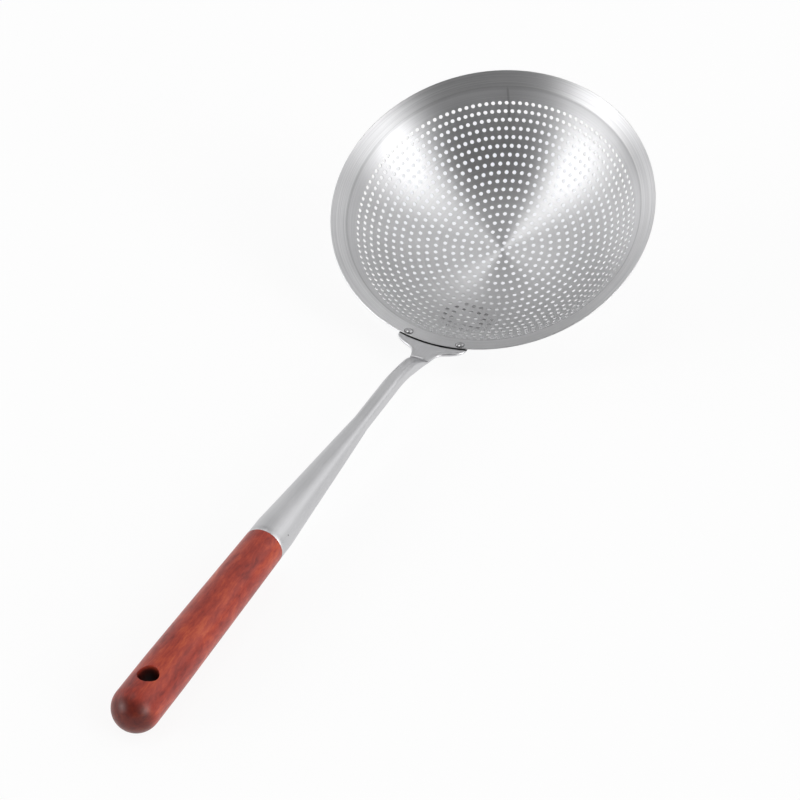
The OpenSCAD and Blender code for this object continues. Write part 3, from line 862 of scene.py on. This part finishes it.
finish = {
    "bowl": {"linesPerMm": 3.0, "dark": (0.57, 0.57, 0.58), "pale": (0.735, 0.735, 0.745),
             "roughness": 0.44, "anisotropy": 0.944, "bump": 0.25, "wallLines": 0.6, "flangeLines": 1.3,
             "bendDark": 0.16, "markAt": 195.0, "markFrom": 66.0, "markDark": 0.22},
    "arm": {"dark": (0.56, 0.56, 0.572), "pale": (0.665, 0.665, 0.677), "roughness": 0.40,
            "anisotropy": 0.6, "bump": 0.2, "rimShadowAt": 0.25, "rimShadowWide": 0.8, "rimShadowDark": 0.8,
            "foldEnd": 2.6, "foldShadeDark": 0.45, "stakeAt": (253.08, 8.97, 101.24), "stakeDark": 0.6},
    "rivet": {"dark": (0.40, 0.40, 0.41), "pale": (0.58, 0.58, 0.59), "roughness": 0.18, "bump": 0.05,
              "edgeAt": 2.5, "edgeShadeDark": 0.75},
    "grip": {"tones": [(0.34, (0.15, 0.018, 0.015)), (0.43, (0.25, 0.030, 0.020)),
                       (0.50, (0.33, 0.041, 0.024)), (0.57, (0.41, 0.060, 0.028)),
                       (0.68, (0.50, 0.100, 0.038))],
             "curl": 0.42, "streak": 0.18, "patches": 0.40, "drift": (0.012, 0.006, 0.006),
             "roughness": 0.40, "bump": 0.15, "specular": 0.28,
             "coat": 0.12, "coatRoughness": 0.22, "endGrainAndShade": 0.36, "boreShade": 0.18},
}

bowlSteel = spunSteel("bowlSteel", finish["bowl"])
armSteel = satinSteel("armSteel", finish["arm"])
rivetSteel = satinSteel("rivetSteel", finish["rivet"], rivetSpots)
gripWood = curlyWood("gripWood", finish["grip"])

bowlPiece = makeBowl(bowlSteel)
print("bowl:", len(bowlPiece.data.polygons), "faces")
armPiece = makeArm(armSteel)
print("arm:", len(armPiece.data.polygons), "faces")
rivetPiece = makeRivets(rivetSteel)
print("rivets:", len(rivetPiece.data.polygons), "faces")
gripPiece = makeGrip(gripWood)
print("grip:", len(gripPiece.data.polygons), "faces")

for piece, nodes, slot in ((bowlPiece, ("bowl",), "bowl_steel"), (armPiece, ("arm",), "arm_steel"),
                           (rivetPiece, ("rivet_left", "rivet_right"), "rivet_steel"),
                           (gripPiece, ("grip",), "grip_wood")):
    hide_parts(*nodes)
    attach(piece, "root")

# Floor: pale, and white to the camera, yet it keeps the spoon's soft shadow.
studio = {
    "floorSize": 12.0, "floorColour": (0.93, 0.93, 0.93),
    # how white the floor shows: a dark ring where the bowl touches, and a soft shadow a little behind it
    "contact": (-139.5, 0.0), "ring": [(0, 1.0), (5.5, 1.0), (9, 0.0), (14, 0.0), (17.5, 1.0)],
    "behind": (-150.0, -5.0), "shade": [(0, 0.40), (14, 0.40), (24, 0.50), (38, 0.90)],
    # painted shade: the paper seen through the holes glows a little darker and cooler to the camera, in an
    # ellipse that fades
    "patch": (-257.6, -28.9), "patchTurn": 18.0, "patchHalf": (141.8, 80.4), "patchFade": (1.07, 0.7),
    "patchShadeColour": (0.87, 0.88, 0.92),
    # soft boxes round the table: direction, height, spread and strength
    "boxes": [(77.1, 13.8, 0.16, 5.8), (-40.3, 15.3, 0.16, 5.2), (-52.7, 18.1, 0.16, 3.95),
              (87.7, 30.8, 0.16, 2.71), (64.7, 16.6, 0.16, 2.63), (-88.8, 75.8, 0.16, 2.59),
              (-92.9, 14.7, 0.16, 1.90), (-65.1, 20.9, 0.16, 1.51), (78.2, 33.7, 0.26, 1.19),
              (-99.4, 26.2, 0.26, 0.94), (158.5, 32.1, 0.45, 0.87), (118.4, 54.5, 0.16, 0.81),
              (123.1, 25.8, 0.26, 0.50), (143.0, 20.0, 0.15, 0.80), (218.0, 10.0, 0.35, 0.85)],
}
floor = newPiece("floor", [(x * studio["floorSize"], y * studio["floorSize"], 0)
                           for x, y in ((-1, -1), (1, -1), (1, 1), (-1, 1))], [(0, 1, 2, 3)], smooth=False)
paper = bpy.data.materials.new("floorPaper")
m = Maker(newTree(paper))
path = m.node("ShaderNodeLightPath")
seen = m.math("MAXIMUM", m.math("MAXIMUM", path.outputs["Is Camera Ray"], path.outputs["Is Glossy Ray"]),
              path.outputs["Is Transmission Ray"])
patchX, patchY = studio["patch"]
halfX, halfY = studio["patchHalf"]
inPatch = m.vector("LENGTH", m.mapping(
    m.here(), "TEXTURE", Location=(patchX / 1000, patchY / 1000, 0),
    Rotation=(0, 0, math.radians(studio["patchTurn"])), Scale=(halfX / 1000, halfY / 1000, 1)))
# painted shade: the floor's glow to the camera is darker and cooler inside this ellipse
patchShade = m.math("MULTIPLY", m.mapRange(inPatch, *studio["patchFade"], 0.0, 1.0, "SMOOTHSTEP"),
              path.outputs["Is Camera Ray"])
white = m.node("ShaderNodeEmission", {
    "Color": m.ramp(patchShade, [(0.0, (1, 1, 1)), (1.0, studio["patchShadeColour"])]), "Strength": 1.0})
matt = m.node("ShaderNodeBsdfDiffuse", {"Color": (*studio["floorColour"], 1)})
share = 1.0
rampMm = 50  # the ramps below reach this far from their centre
for centre, stops in (("contact", "ring"), ("behind", "shade")):
    x, y = studio[centre]
    away = m.vector("DISTANCE", m.here(), (x / 1000, y / 1000, 0))
    shade = m.ramp(m.math("MULTIPLY", away, 1000 / rampMm),
                   [(mm / rampMm, (v, v, v)) for mm, v in studio[stops]], "EASE")
    share = m.math("MULTIPLY", share, shade)
both = m.node("ShaderNodeMixShader", {0: m.math("MULTIPLY", seen, share), 1: matt.outputs[0],
                                      2: white.outputs[0]})
m.node("ShaderNodeOutputMaterial", {"Surface": both.outputs[0]})
floor.data.materials.append(paper)

scene = bpy.context.scene
world = bpy.data.worlds.new("studio")
scene.world = world
world.use_nodes = True
world.node_tree.nodes.clear()
w = Maker(world.node_tree)
direction = w.node("ShaderNodeTexCoord").outputs["Generated"]
level = 0.0
for az, el, spread, strength in studio["boxes"]:
    way = (cosD(az) * cosD(el), sinD(az) * cosD(el), sinD(el))
    facing = w.math("SUBTRACT", w.vector("DOT_PRODUCT", direction, way), 1.0)
    glow = w.math("EXPONENT", w.math("DIVIDE", facing, spread ** 2))
    level = w.math("MULTIPLY_ADD", glow, strength, level)
light = w.node("ShaderNodeBackground", {"Color": (1, 1, 1, 1), "Strength": level})
w.node("ShaderNodeOutputWorld", {"Surface": light.outputs[0]})

# Camera: where the photograph was taken from, given in the spoon's own frame.
view = {"centre": (605.42, 393.46, 1107.26), "lens": 108.0, "sensor": 36.0,
        "right": (-0.371004, 0.913506, -0.166922), "down": (0.848731, 0.260616, -0.460146)}
scene.view_settings.view_transform = "Standard"
lensCamera = bpy.data.cameras.new("camera")
lensCamera.lens, lensCamera.sensor_width = view["lens"], view["sensor"]
lensCamera.clip_end = 60
camera = bpy.data.objects.new("camera", lensCamera)
scene.collection.objects.link(camera)
right, down = Vector(turnedDirections([view["right"]])[0]), Vector(turnedDirections([view["down"]])[0])
down = (down - right * down.dot(right) / right.dot(right)).normalized()
right.normalize()
back = right.cross(-down)
turn = Matrix((right, -down, back)).transposed().to_4x4()
camera.matrix_world = Matrix.Translation(atRest([view["centre"]])[0]) @ turn
scene.camera = camera
